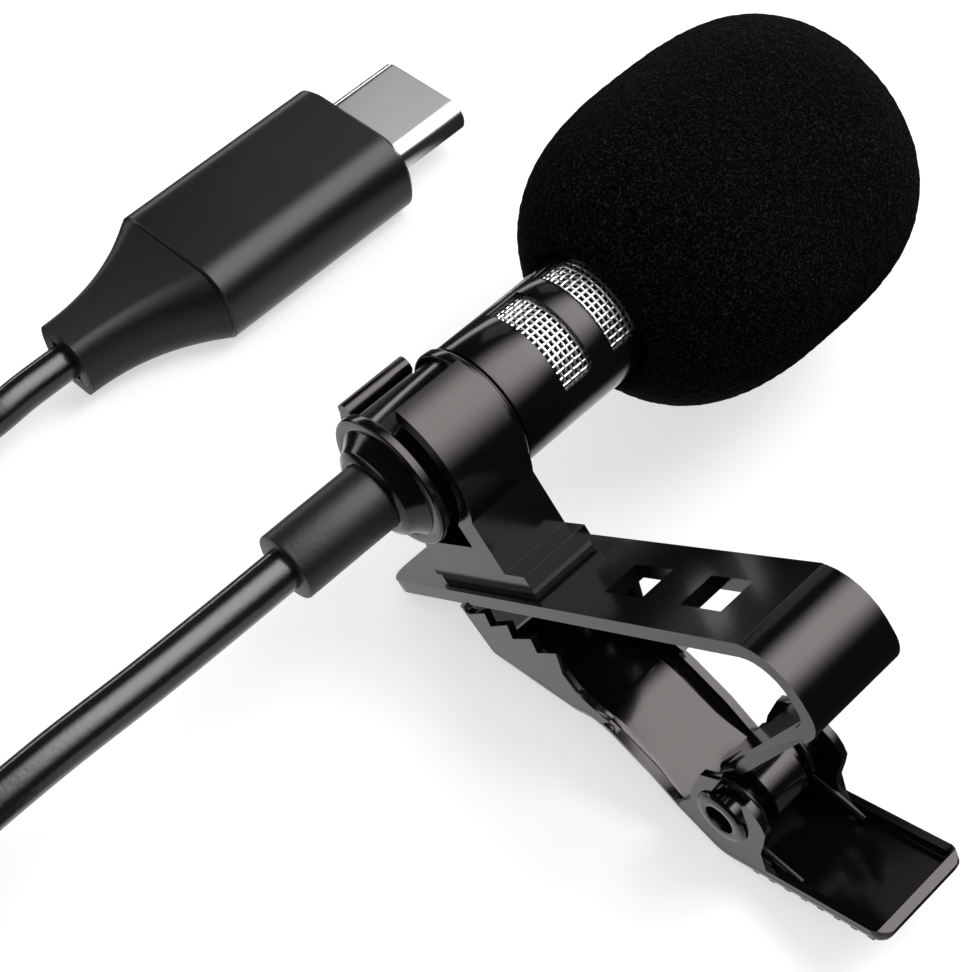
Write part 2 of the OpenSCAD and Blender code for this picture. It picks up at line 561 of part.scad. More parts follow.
module plug_contacts() color("#c9a24a") on_plug() for (k = [0 : 11], s = [0, 1]) mirror([0, s, 0])
    translate([-2.75 + 0.5 * k - contact[0] / 2, port[1] / 2 - contact[1], port_back]) cube(contact);
module plug_latches() color("#b9b9bb") on_plug() for (s = [0, 1]) mirror([s, 0, 0])
    translate([port[0] / 2 - 0.15, -0.3, port_back]) cube([0.15, 0.6, 4.6]);
board_half = 0.4;
module plug_board() color("#1f5a35") on_plug()
    translate([-4, -board_half, cable_reach]) cube([8, 2 * board_half, shell_back - cable_reach]);
module plug_chip() color("#222224") on_plug()
    translate([-1.5, -board_half - 0.8, cable_reach + 3]) cube([3, 0.8, 3]);

windscreen();
capsule_housing();
mesh_screen();
acoustic_cloth();
front_cap();
electret_capsule();
capsule_gasket();
capsule_board();
capsule_wires();
rear_cone();
strain_relief();
cable_crimp();
cable_end();
mic_holder();
holder_pad();
holder_rivets();
clip_plate();
pivot_tube();
torsion_spring();
clip_lever();
cable_mic_run();
cable_coil();
cable_tie();
cable_plug_run();
plug_strain_relief();
plug_cable_end();
plug_body();
plug_shell();
plug_insulator();
plug_contacts();
plug_latches();
plug_board();
plug_chip();
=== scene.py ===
import math

import bmesh
import bpy
from mathutils import Matrix, Vector


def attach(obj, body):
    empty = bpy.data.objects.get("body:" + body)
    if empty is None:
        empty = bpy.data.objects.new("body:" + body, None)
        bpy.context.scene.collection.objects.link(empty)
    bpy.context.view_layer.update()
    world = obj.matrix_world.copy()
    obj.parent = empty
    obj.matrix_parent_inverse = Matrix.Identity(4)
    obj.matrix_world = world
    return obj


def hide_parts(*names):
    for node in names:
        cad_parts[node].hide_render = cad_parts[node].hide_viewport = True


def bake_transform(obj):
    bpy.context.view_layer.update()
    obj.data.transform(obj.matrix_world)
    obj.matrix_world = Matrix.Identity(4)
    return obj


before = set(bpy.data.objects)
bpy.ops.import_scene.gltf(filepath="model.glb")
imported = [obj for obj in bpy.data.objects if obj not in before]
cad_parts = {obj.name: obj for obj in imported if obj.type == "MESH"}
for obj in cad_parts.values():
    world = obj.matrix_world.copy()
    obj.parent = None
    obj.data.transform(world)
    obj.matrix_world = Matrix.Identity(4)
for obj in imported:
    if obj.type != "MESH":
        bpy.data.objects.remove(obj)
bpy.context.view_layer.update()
scene = bpy.context.scene
scene.view_settings.view_transform = "Standard"

# ---- Camera ----
# A long lens 11 cm above the table, off the clip's thumb end. It looks down across the clip
# to the windscreen and the plug.
camera = bpy.data.objects.new("camera", bpy.data.cameras.new("camera"))
camera.data.sensor_fit = "HORIZONTAL"
camera.data.sensor_width = 36
camera.data.lens = 80.36
camera.data.clip_start = 0.005
camera_place = (0.05176, -0.056076, 0.107486)
camera_right = Vector((0.69432, 0.7107, -0.11303))
camera_down = Vector((0.51506, -0.6004, -0.6117))
camera_ahead = Vector((-0.50264, 0.3665, -0.78295))
camera.matrix_world = Matrix.Translation(camera_place) @ Matrix(
    (camera_right, -camera_down, -camera_ahead)).transposed().to_4x4()
scene.collection.objects.link(camera)
scene.camera = camera

# ---- Lead ----
# One 2.6 mm cable in a glossy black jacket, from the sleeve to the plug. It drops to a tied
# coil of fifteen and a half turns and comes back along the table.
MM = 0.001
cable_d = 2.6
capsule_x, ring_y, capsule_z = -12.52, -11.865, 13.87
sleeve_end = -11.47
plug_x, plug_y, plug_z = -44, -18.1, 3.25
coil_x, coil_y, coil_low = -33.7, -62.2, 1.85
coil_radius, coil_pitch, coil_turns = 20.3, 3.02, 15.5
leg_turns = coil_turns / 4

from_capsule = [
    (capsule_x, ring_y + sleeve_end, capsule_z), (capsule_x, -27.9, capsule_z),
    (-12.6, -33.5, 13.85), (-12.9, -39.5, 13.7), (-13.2, -45.5, 13.1), (-13.35, -51, 12.1),
    (-13.4, -54.5, 11.3), (-13.4, -57.1, 10.91), (-13.4, coil_y + cable_d, 10.91)]
to_plug = [
    (-54, coil_y + cable_d, coil_low), (-54, -56.2, coil_low), (-54, -51, 1.55),
    (-53.8, -45.5, 1.35), (-52.6, -40.5, 1.32), (-50, -36, 1.32), (-47, -31.8, 1.45),
    (-44.9, -27.7, 2.1), (-44.1, -24.5, 2.9), (plug_x, -21.7, plug_z), (plug_x, plug_y, plug_z)]


def smooth_run(points, steps=6):
    """The points of a run with the bends between them drawn out smoothly."""
    points = [Vector(p) for p in points]
    ends = [2 * points[0] - points[1]] + points + [2 * points[-1] - points[-2]]
    run = []
    for a, b, c, d in zip(ends, ends[1:], ends[2:], ends[3:]):
        for k in range(steps):
            t = k / steps
            run.append(0.5 * ((2 * b) + (c - a) * t + (2 * a - 5 * b + 4 * c - d) * t ** 2
                              + (3 * b - a - 3 * c + d) * t ** 3))
    return run + [points[-1]]


def eased(x):
    """Goes smoothly from 0 to 1 while x does."""
    x = max(0.0, min(1.0, x))
    return x * x * (3 - 2 * x)


def coil_point(t):
    """The middle of the cable after t turns. Its four layers go in and out from the top down."""
    leg = math.floor(min(t, coil_turns - 0.01) / leg_turns)
    part = t / leg_turns - leg
    r = coil_radius - coil_pitch * leg_turns * (part if leg % 2 == 0 else 1 - part)
    layer = 3 - sum(eased(2 * (t - k * leg_turns) + 0.5) for k in (1, 2, 3))
    angle = -2 * math.pi * t
    return Vector((coil_x + r * math.cos(angle), coil_y + r * math.sin(angle),
                   coil_low + coil_pitch * layer))


turn_steps = 36
lead_line = (smooth_run(from_capsule)
             + [coil_point(k / turn_steps) for k in range(int(coil_turns * turn_steps) + 1)]
             + smooth_run(to_plug))


def wire_piece(name, lines, radius, resolution, closed=False):
    """A curve object: one round wire along each list of points, in millimetres."""
    curve = bpy.data.curves.new(name, "CURVE")
    curve.dimensions = "3D"
    curve.bevel_depth = radius * MM
    curve.bevel_resolution = resolution
    curve.use_fill_caps = True
    for line in lines:
        spline = curve.splines.new("POLY")
        spline.points.add(len(line) - 1)
        for point, place in zip(spline.points, line):
            point.co = (*(Vector(place) * MM), 1)
        spline.use_cyclic_u = closed
        spline.use_smooth = True
    piece = bpy.data.objects.new(name, curve)
    scene.collection.objects.link(piece)
    return piece


def finish(name, dark, light, patch, rough, metallic=0.0, bump=0.0, grain=0.0002, ior=1.5,
           tint=(1, 1, 1)):
    """A finish whose colour wanders between dark and light over patches of that size, with a fine
    grain in its surface. Sizes are in metres and rough is the lowest and highest roughness."""
    material = bpy.data.materials.new(name)
    material.use_nodes = True
    nodes, links = material.node_tree.nodes, material.node_tree.links
    shader = nodes["Principled BSDF"]
    shader.inputs["Metallic"].default_value = metallic
    shader.inputs["IOR"].default_value = ior
    shader.inputs["Specular Tint"].default_value = (*tint, 1)
    where = nodes.new("ShaderNodeTexCoord")
    patches = nodes.new("ShaderNodeTexNoise")
    patches.inputs["Scale"].default_value = 1 / patch
    patches.inputs["Detail"].default_value = 4
    links.new(where.outputs["Object"], patches.inputs["Vector"])
    colour = nodes.new("ShaderNodeMix")
    colour.data_type = "RGBA"
    colour.inputs["A"].default_value = (*dark, 1)
    colour.inputs["B"].default_value = (*light, 1)
    links.new(patches.outputs["Fac"], colour.inputs["Factor"])
    links.new(colour.outputs["Result"], shader.inputs["Base Color"])
    polish = nodes.new("ShaderNodeMapRange")
    polish.inputs["To Min"].default_value, polish.inputs["To Max"].default_value = rough
    links.new(patches.outputs["Fac"], polish.inputs["Value"])
    links.new(polish.outputs["Result"], shader.inputs["Roughness"])
    if bump:
        fine = nodes.new("ShaderNodeTexNoise")
        fine.inputs["Scale"].default_value = 1 / grain
        fine.inputs["Detail"].default_value = 3
        links.new(where.outputs["Object"], fine.inputs["Vector"])
        relief = nodes.new("ShaderNodeBump")
        relief.inputs["Strength"].default_value = bump
        relief.inputs["Distance"].default_value = grain / 4
        links.new(fine.outputs["Fac"], relief.inputs["Height"])
        links.new(relief.outputs["Normal"], shader.inputs["Normal"])
    return material


jacket = finish("cable_jacket", (0.006, 0.006, 0.006), (0.011, 0.011, 0.011), 0.004, (0.16, 0.22),
                bump=0.12, grain=0.0004, ior=1.45)
lead = wire_piece("lead", [lead_line], cable_d / 2, 5)
lead.data.materials.append(jacket)
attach(lead, "clip")
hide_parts("cable_mic_run", "cable_coil", "cable_plug_run")

# ---- Coil tie ----
# A soft plastic strap, 5 mm wide. It is closed round one side of the coil and keeps its turns
# together.
def round_edges(piece, width, segments=2, corner=30):
    """Rounds the active piece's edges that turn by more than corner degrees."""
    bpy.ops.object.mode_set(mode="OBJECT")
    edge = piece.modifiers.new("edge", "BEVEL")
    edge.width = width
    edge.segments = segments
    edge.limit_method = "ANGLE"
    edge.angle_limit = math.radians(corner)
    bpy.ops.object.modifier_apply(modifier="edge")


def carried_over(node, name, bevel, segments=2):
    """A merged copy of a CAD node with its edges rounded by that many millimetres."""
    merge_reach, flat, corner = 0.002 * MM, 1, 30
    bpy.ops.object.select_all(action="DESELECT")
    piece = bpy.data.objects.new(name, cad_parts[node].data.copy())
    scene.collection.objects.link(piece)
    bpy.context.view_layer.objects.active = piece
    piece.select_set(True)
    piece.data.materials.clear()
    bpy.ops.object.mode_set(mode="EDIT")
    bpy.ops.mesh.select_all(action="SELECT")
    bpy.ops.mesh.customdata_custom_splitnormals_clear()
    bpy.ops.mesh.remove_doubles(threshold=merge_reach)
    bpy.ops.mesh.dissolve_limited(angle_limit=math.radians(flat))
    round_edges(piece, bevel * MM, segments, corner)
    bpy.ops.object.shade_smooth_by_angle(angle=math.radians(corner))
    even = piece.modifiers.new("even", "WEIGHTED_NORMAL")
    even.weight = 100
    even.keep_sharp = True
    bpy.ops.object.modifier_apply(modifier="even")
    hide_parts(node)
    return piece


strap = finish("tie_strap", (0.012, 0.012, 0.013), (0.024, 0.024, 0.026), 0.003, (0.55, 0.75),
               bump=0.5, grain=0.0003)
tie = carried_over("cable_tie", "coil_tie", 0.12)
tie.data.materials.append(strap)
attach(tie, "clip")

# ---- Plug ----
# A moulded satin black body and a flared strain relief on the cable, round the nickel-plated
# shell. Its board, chip and contacts sit inside.
plug_place = (Matrix.Translation((plug_x * MM, plug_y * MM, plug_z * MM))
              @ Matrix.Rotation(-math.pi / 2, 4, "X") @ Matrix.Scale(MM, 4))
relief_length, plug_length, plug_width, plug_height, edge_r = 9.6, 16.9, 12, 6.5, 2.9
body_end = relief_length + plug_length


def named_primitive(name):
    """Names the primitive just added and opens it in edit mode, selected all over."""
    piece = bpy.context.object
    piece.name = piece.data.name = name
    bpy.ops.object.mode_set(mode="EDIT")
    bpy.ops.mesh.select_all(action="SELECT")
    return piece


def placed(piece, where, body, material, slot, *nodes, smooth=30):
    """Brings a piece worked in millimetres to its place and gives it its body and finish."""
    if bpy.context.mode != "OBJECT":
        bpy.ops.object.mode_set(mode="OBJECT")
    bpy.ops.object.select_all(action="DESELECT")
    piece.select_set(True)
    bpy.context.view_layer.objects.active = piece
    piece.matrix_world = where
    bpy.ops.object.transform_apply(location=True, rotation=True, scale=True)
    bpy.ops.object.shade_smooth_by_angle(angle=math.radians(smooth))
    piece.data.materials.clear()
    piece.data.materials.append(material)
    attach(piece, body)
    if nodes:
        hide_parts(*nodes)
    return piece


def slab_outline(name, w, h, r, segments, z):
    """A flat rounded rectangle across the plug's axis, left selected in edit mode."""
    bpy.ops.object.select_all(action="DESELECT")
    bpy.ops.mesh.primitive_plane_add(size=1, location=(0, 0, 0))
    piece = named_primitive(name)
    bpy.ops.transform.resize(value=(w, h, 1), center_override=(0, 0, 0))
    bpy.ops.transform.translate(value=(0, 0, z))
    bpy.ops.mesh.bevel(offset=r, offset_type="OFFSET", segments=segments, affect="VERTICES")
    bpy.ops.mesh.select_all(action="SELECT")
    return piece


def drawn_out(dz):
    """Extrudes the selected face along its axis."""
    bpy.ops.mesh.extrude_region_move(TRANSFORM_OT_translate={"value": (0, 0, dz)})


def resized(sx, sy, z):
    """Scales the selection about the axis, at that height."""
    bpy.ops.transform.resize(value=(sx, sy, 1), center_override=(0, 0, z))


satin_plastic = finish("plug_moulding", (0.005, 0.005, 0.005), (0.008, 0.008, 0.008), 0.006,
                       (0.3, 0.38), bump=0.1, grain=0.00025, ior=1.32)
corner_steps, back_edge, front_edge, face_rim, face_sink = 10, 0.25, 0.35, 1.2, 0.12
back_width, back_height = plug_width - 2 * back_edge, plug_height - 2 * back_edge
plug_body = slab_outline("plug_moulding", back_width, back_height, edge_r - back_edge, corner_steps,
                         relief_length)
drawn_out(back_edge)
resized(plug_width / back_width, plug_height / back_height, relief_length + back_edge)
drawn_out(plug_length - (back_edge + front_edge))
drawn_out(front_edge)
resized((plug_width - 2 * front_edge) / plug_width, (plug_height - 2 * front_edge) / plug_height,
        body_end)
bpy.ops.mesh.inset(thickness=face_rim)
drawn_out(-face_sink)
placed(plug_body, plug_place, "clip", satin_plastic, "plug_plastic", "plug_body", smooth=25)

relief_plastic = finish("relief_moulding", (0.002, 0.002, 0.002), (0.004, 0.004, 0.004), 0.004,
                        (0.42, 0.5), bump=0.15, grain=0.00025, ior=1.3)
relief_width, relief_height, relief_r = plug_width - 0.3, plug_height - 0.2, edge_r - 0.15
small_end, flare, steps = 2.4, 2.2, 14
end_rim, end_step, hole_rim, hole_depth = 0.25, 0.02, 0.9, 0.3
plug_relief = slab_outline("plug_relief", relief_width, relief_height, relief_r, corner_steps,
                           relief_length)
w, h, z = relief_width, relief_height, relief_length
for k in range(1, steps + 1):
    t = 1 - k / steps
    w1 = 2 * small_end + (relief_width - 2 * small_end) * t ** flare
    h1 = 2 * small_end + (relief_height - 2 * small_end) * t ** flare
    drawn_out(-relief_length / steps)
    z -= relief_length / steps
    resized(w1 / w, h1 / h, z)
    w, h = w1, h1
bpy.ops.mesh.inset(thickness=end_rim)
drawn_out(-end_step)
bpy.ops.mesh.inset(thickness=hole_rim)
drawn_out(hole_depth)
bpy.ops.mesh.select_all(action="SELECT")
bpy.ops.mesh.normals_make_consistent(inside=False)
placed(plug_relief, plug_place, "clip", relief_plastic, "plug_plastic", "plug_strain_relief",
       smooth=35)

nickel = finish("nickel_plating", (0.55, 0.55, 0.56), (0.68, 0.68, 0.69), 0.008, (0.16, 0.24),
                metallic=1.0, bump=0.04, grain=0.0003)
shell_hidden, shell_shown = 4, 6.7
shell_back, shell_front = body_end - shell_hidden, body_end + shell_shown
shell_width, shell_height, shell_r = 8.34, 2.56, 1.27
mouth_width, mouth_height, mouth_edge, mouth_rim, mouth_depth = 8.2, 2.42, 0.08, 0.23, 9.5
plug_shell = slab_outline("plug_shell_tube", shell_width, shell_height, shell_r, corner_steps,
                          shell_back)
drawn_out(shell_front - shell_back - mouth_edge)
drawn_out(mouth_edge)
resized(mouth_width / shell_width, mouth_height / shell_height, shell_front)
bpy.ops.mesh.inset(thickness=mouth_rim)
drawn_out(-mouth_depth)
bpy.ops.mesh.select_all(action="SELECT")
bpy.ops.mesh.normals_make_consistent(inside=False)
placed(plug_shell, plug_place, "clip", nickel, "shell", "plug_shell", smooth=35)

tongue_plastic = finish("socket_moulding", (0.008, 0.008, 0.008), (0.013, 0.013, 0.013), 0.002,
                        (0.45, 0.55))
gold = finish("gold_plating", (0.75, 0.5, 0.16), (0.9, 0.63, 0.25), 0.001, (0.2, 0.3), metallic=1.0)
latch_steel = finish("latch_steel", (0.3, 0.3, 0.305), (0.42, 0.42, 0.425), 0.002, (0.2, 0.32),
                     metallic=1.0)
circuit = finish("circuit_board", (0.012, 0.07, 0.03), (0.02, 0.11, 0.05), 0.002, (0.3, 0.4))
chip_plastic = finish("chip_moulding", (0.016, 0.016, 0.017), (0.026, 0.026, 0.028), 0.001,
                      (0.5, 0.6), bump=0.3)
kept = {"plug_insulator": tongue_plastic, "plug_contacts": gold, "plug_latches": latch_steel,
        "plug_board": circuit, "plug_chip": chip_plastic, "plug_cable_end": jacket}


def refinish(node, material):
    """Gives a CAD node whose shape stays its finish."""
    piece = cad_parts[node]
    piece.data.materials.clear()
    piece.data.materials.append(material)


for node, material in kept.items():
    refinish(node, material)

# ---- Capsule housing ----
# A turned and black-plated brass tube. Two rows of windows are milled through its wall, and
# two flanges leave the groove that the clip's ring snaps round. A fine groove ends the front one.
capsule_place = (Matrix.Translation((capsule_x * MM, ring_y * MM, capsule_z * MM))
                 @ Matrix.Rotation(-math.pi / 2, 4, "X") @ Matrix.Scale(MM, 4))
body_r, groove_r, front_bore_r, rear_bore_r, body_front = 4.15, 3.9, 3.75, 3.5, 15.9


def turned(name, profile, sides=96):
    """A ring turned about its axis. The profile goes round its section, as (radius, along)."""
    bpy.ops.object.select_all(action="DESELECT")
    radius, along = profile[0]
    bpy.ops.mesh.primitive_circle_add(vertices=sides, radius=radius, location=(0, 0, 0))
    piece = named_primitive(name)
    bpy.ops.transform.translate(value=(0, 0, along))
    for next_radius, next_along in profile[1:]:
        bpy.ops.mesh.extrude_edges_move(
            TRANSFORM_OT_translate={"value": (0, 0, next_along - along)})
        resized(next_radius / radius, next_radius / radius, next_along)
        radius, along = next_radius, next_along
    bpy.ops.mesh.select_all(action="SELECT")
    bpy.ops.mesh.remove_doubles(threshold=0.0005)
    bpy.ops.mesh.normals_make_consistent(inside=False)
    return piece


black_plating = finish("black_plating", (0.002, 0.002, 0.002), (0.004, 0.0038, 0.0037), 0.012,
                       (0.12, 0.17), bump=0.02, grain=0.0004, ior=1.37, tint=(1, 0.92, 0.9))
rear_end, rear_flange_front, front_flange_back, front_flange_front = -3.75, -3.05, 2.45, 3.2
fine_groove_r, fine_groove_front, bore_step = 3.95, 3.45, 3
window_rows = [(6.8, 9.1), (10.7, 12.9)]
window_turn, window_span = 58, 102
window_edges = [edge for row in window_rows for edge in row]
housing = turned("housing", [
    (rear_bore_r, rear_end), (4.27, rear_end), (4.37, -3.65), (4.37, -3.15),
    (4.27, rear_flange_front), (groove_r, rear_flange_front),
    (groove_r, front_flange_back), (4.3, front_flange_back), (4.4, 2.55), (4.4, 3.1),
    (4.3, front_flange_front), (fine_groove_r, front_flange_front),
    (fine_groove_r, fine_groove_front), (body_r, fine_groove_front)]
    + [(body_r, edge) for edge in window_edges] + [(body_r, body_front), (front_bore_r, body_front)]
    + [(front_bore_r, edge) for edge in reversed(window_edges)]
    + [(front_bore_r, bore_step), (rear_bore_r, bore_step), (rear_bore_r, rear_end)], sides=180)


def choose(kind, test):
    """In edit mode, selects only the vertices or faces whose middle passes the test."""
    bpy.ops.mesh.select_mode(type=kind)
    bpy.ops.mesh.select_all(action="DESELECT")
    mesh = bmesh.from_edit_mesh(bpy.context.object.data)
    if kind == "VERT":
        for v in mesh.verts:
            v.select_set(test(v.co))
    else:
        for f in mesh.faces:
            f.select_set(test(f.calc_center_median()))
    mesh.select_flush_mode()
    bmesh.update_edit_mesh(bpy.context.object.data)


def at_window(place, spare=0):
    """Whether a place on the wall is at the turn of a window, or within spare degrees of one."""
    turn = math.degrees(math.atan2(place.y, place.x)) - window_turn + spare
    return turn % 180 < window_span + 2 * spare


choose("FACE", lambda place: at_window(place) and any(a < place.z < b for a, b in window_rows))
bpy.ops.mesh.delete(type="FACE")
# Each window's inner and outer rim are joined, which makes the wall's thickness show
rim_reach, rim_spare, half_start = 0.1, 3, 30
for low, high in window_rows:
    for upper in (True, False):
        bpy.ops.mesh.select_mode(type="EDGE")
        bpy.ops.mesh.select_all(action="DESELECT")
        rim = bmesh.from_edit_mesh(housing.data)
        for e in rim.edges:
            middle = (e.verts[0].co + e.verts[1].co) / 2
            here = (low - rim_reach < middle.z < high + rim_reach
                    and at_window(middle, rim_spare))
            turn = math.degrees(math.atan2(middle.y, middle.x)) - window_turn + half_start
            e.select_set(e.is_boundary and here and (turn % 360 < 180) == upper)
        bmesh.update_edit_mesh(housing.data)
        bpy.ops.mesh.bridge_edge_loops()
bpy.ops.mesh.select_all(action="SELECT")
bpy.ops.mesh.normals_make_consistent(inside=False)
round_edges(housing, 0.07, corner=35)
placed(housing, capsule_place, "microphone", black_plating, "black_metal", "capsule_housing")

# ---- Mesh screen ----
# Bright wire cloth, woven square, rolled into a sleeve and pushed in behind the windows, with
# a thin black cloth inside it.
bright_wire = finish("bright_wire", (0.6, 0.6, 0.6), (0.75, 0.75, 0.75), 0.002, (0.32, 0.4),
                     metallic=1.0)
cloth_r, wire_r, weave = 3.63, 0.1, 0.02
around, rows, row_pitch, cloth_start = 52, 33, 0.37, 3.2


def on_cloth(radius, angle, along):
    """A place by its turn round the capsule's axis and how far it is along it."""
    return Vector((capsule_x + radius * math.cos(angle), ring_y + along,
                   capsule_z - radius * math.sin(angle)))


def over_and_under(k, n):
    """How far wire n stands off the cloth's middle at its k-th half step."""
    return weave * math.cos(math.pi * (k / 2 + n))


long_wires = [[on_cloth(cloth_r + over_and_under(k, n), 2 * math.pi * n / around,
                        cloth_start + row_pitch * k / 2)
               for k in range(2 * rows + 1)] for n in range(around)]
round_wires = [[on_cloth(cloth_r - over_and_under(k, n), math.pi * k / around,
                         cloth_start + row_pitch * n)
                for k in range(2 * around)] for n in range(rows + 1)]
cloth = wire_piece("wire_cloth_long", long_wires, wire_r, 1)
hoops = wire_piece("wire_cloth_round", round_wires, wire_r, 1, closed=True)
for piece in (cloth, hoops):
    piece.data.materials.append(bright_wire)
    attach(piece, "microphone")
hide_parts("mesh_screen")
black_cloth = finish("black_cloth", (0.002, 0.002, 0.002), (0.005, 0.005, 0.005), 0.001,
                     (0.85, 0.95), ior=1.2)
refinish("acoustic_cloth", black_cloth)

# ---- Rear cone, sleeve and what they hold ----
# The cone is a turned ferrule pressed into the housing. The sleeve is dark grey rubber
# moulded on the cable, whose end goes on to the crimp inside.
sleeve_r, cone_back, collar_front, hollow_r, hollow_back = 2.15, -4.97, -1, 2.7, -3.6
cone = turned("ferrule", [
    (sleeve_r, cone_back), (2.45, cone_back), (2.9, -4.72), (3.13, -4.32), (3.67, rear_end),
    (rear_bore_r, rear_end), (rear_bore_r, collar_front), (hollow_r, collar_front),
    (hollow_r, hollow_back), (sleeve_r, hollow_back), (sleeve_r, cone_back)])
round_edges(cone, 0.05, corner=25)
placed(cone, capsule_place, "microphone", black_plating, "black_metal", "rear_cone", smooth=18)

grey_rubber = finish("sleeve_rubber", (0.008, 0.008, 0.0083), (0.012, 0.012, 0.0125), 0.003,
                     (0.36, 0.44), bump=0.2, grain=0.0003, ior=1.33)
sleeve_bore_r, head_front = 1.32, -3
sleeve = turned("rubber_sleeve", [
    (sleeve_bore_r, sleeve_end), (2.02, sleeve_end), (2.11, sleeve_end + 0.04),
    (sleeve_r, sleeve_end + 0.13), (sleeve_r, hollow_back), (hollow_r, hollow_back),
    (hollow_r, head_front), (sleeve_bore_r, head_front), (sleeve_bore_r, sleeve_end)])
placed(sleeve, capsule_place, "microphone", grey_rubber, "sleeve", "strain_relief", smooth=35)

satin_cap = finish("cap_lacquer", (0.01, 0.01, 0.011), (0.018, 0.018, 0.019), 0.003, (0.35, 0.45))
can_metal = finish("element_can", (0.55, 0.55, 0.56), (0.68, 0.68, 0.69), 0.002, (0.25, 0.35),
                   metallic=1.0)
soft_rubber = finish("soft_rubber", (0.012, 0.012, 0.013), (0.02, 0.02, 0.021), 0.002, (0.6, 0.75),
                     bump=0.3)
wire_red = finish("wire_insulation", (0.3, 0.02, 0.015), (0.42, 0.04, 0.03), 0.002, (0.35, 0.45))
brass = finish("crimp_brass", (0.5, 0.34, 0.13), (0.66, 0.47, 0.2), 0.002, (0.25, 0.4),
               metallic=1.0)
inside = {"front_cap": satin_cap, "electret_capsule": can_metal, "capsule_gasket": soft_rubber,
          "capsule_board": circuit, "capsule_wires": wire_red, "cable_crimp": brass,
          "cable_end": jacket}
for node, material in inside.items():
    refinish(node, material)

# ---- Windscreen ----
# An open-cell foam ball moulded a little longer than it is wide. The socket in its back grips
# the front of the capsule.
foam_r, foam_middle, foam_reach = 10.15, 23.4, 11.8
socket_r, socket_end, foam_front, pole_r = 4.2, 16.9, foam_middle + foam_reach, 0.05
back_power, front_power = 2.6, 3.2


def swell(t, power):
    """The radius of a squarish ball of radius 1 at height t."""
    return max(0.0, 1 - t ** power) ** (1 / power)


foam_outline = [(pole_r, socket_end), (socket_r, socket_end), (socket_r, 13.3), (4.35, 12.75),
                (4.8, 12.38)]
for a in range(24, 90, 6):
    height = math.cos(math.radians(a))
    foam_outline.append((foam_r * swell(height, back_power), foam_middle - foam_reach * height))
for a in range(0, 90, 6):
    height = math.sin(math.radians(a))
    foam_outline.append((foam_r * swell(height, front_power), foam_middle + foam_reach * height))
foam = turned("foam_windscreen", foam_outline + [(pole_r, foam_front)], sides=48)
for end in (socket_end, foam_front):
    choose("VERT", lambda place: abs(place.z - end) < 0.01 and place.xy.length < 2 * pole_r)
    bpy.ops.mesh.merge(type="CENTER")
bpy.ops.mesh.select_all(action="SELECT")
bpy.ops.mesh.normals_make_consistent(inside=False)
bpy.ops.object.mode_set(mode="OBJECT")
rounded = foam.modifiers.new("rounded", "SUBSURF")
rounded.levels = rounded.render_levels = 3
bpy.ops.object.modifier_apply(modifier="rounded")
cells = bpy.data.textures.new("foam_cells", "VORONOI")
cells.noise_scale = 0.45
cells.distance_metric = "DISTANCE"
pits = foam.modifiers.new("pits", "DISPLACE")
pits.texture = cells
pits.texture_coords = "LOCAL"
pits.strength = 0.1
pits.mid_level = 0.6
bpy.ops.object.modifier_apply(modifier="pits")


def math_node(nodes, links, operation, *inputs):
    """A math node between numbers or other nodes' outputs."""
    node = nodes.new("ShaderNodeMath")
    node.operation = operation
    for socket, value in zip(node.inputs, inputs):
        if isinstance(value, (int, float)):
            socket.default_value = value
        else:
            links.new(value, socket)
    return node.outputs["Value"]


def foam_finish():
    """Near-black foam, with a little cold painted light on its cell walls and painted shade in the
    pores between them.
    """
    pore_size, fleck_size, relief_depth = 0.00022, 0.0002, 0.00006
    material = bpy.data.materials.new("foam")
    material.use_nodes = True
    nodes, links = material.node_tree.nodes, material.node_tree.links
    shader = nodes["Principled BSDF"]
    shader.inputs["Roughness"].default_value = 0.9
    shader.inputs["Specular IOR Level"].default_value = 0.02
    where = nodes.new("ShaderNodeTexCoord")
    pores = nodes.new("ShaderNodeTexVoronoi")
    pores.feature = "DISTANCE_TO_EDGE"
    pores.inputs["Scale"].default_value = 1 / pore_size
    fleck = nodes.new("ShaderNodeTexNoise")
    fleck.inputs["Scale"].default_value = 1 / fleck_size
    fleck.inputs["Detail"].default_value = 2
    for texture in (pores, fleck):
        links.new(where.outputs["Object"], texture.inputs["Vector"])
    walls = nodes.new("ShaderNodeMapRange")
    for socket, number in (("From Min", 0), ("From Max", 0.35), ("To Min", 1), ("To Max", 0)):
        walls.inputs[socket].default_value = number
    links.new(pores.outputs["Distance"], walls.inputs["Value"])
    # Painted light on the cell walls and painted shade in the pores, used for the base colour and
    # the bump
    painted_cell_light = math_node(nodes, links, "MULTIPLY", walls.outputs["Result"], fleck.outputs["Fac"])
    ramp = nodes.new("ShaderNodeValToRGB")
    pore, wall = ramp.color_ramp.elements
    pore.position, pore.color = 0.36, (0.0003, 0.0003, 0.0003, 1)
    wall.position, wall.color = 0.6, (0.0125, 0.012, 0.0135, 1)
    links.new(painted_cell_light, ramp.inputs["Fac"])
    links.new(ramp.outputs["Color"], shader.inputs["Base Color"])
    relief = nodes.new("ShaderNodeBump")
    relief.inputs["Strength"].default_value = 0.6
    relief.inputs["Distance"].default_value = relief_depth
    links.new(painted_cell_light, relief.inputs["Height"])
    links.new(relief.outputs["Normal"], shader.inputs["Normal"])
    return material


placed(foam, capsule_place, "foam", foam_finish(), "foam", "windscreen", smooth=180)

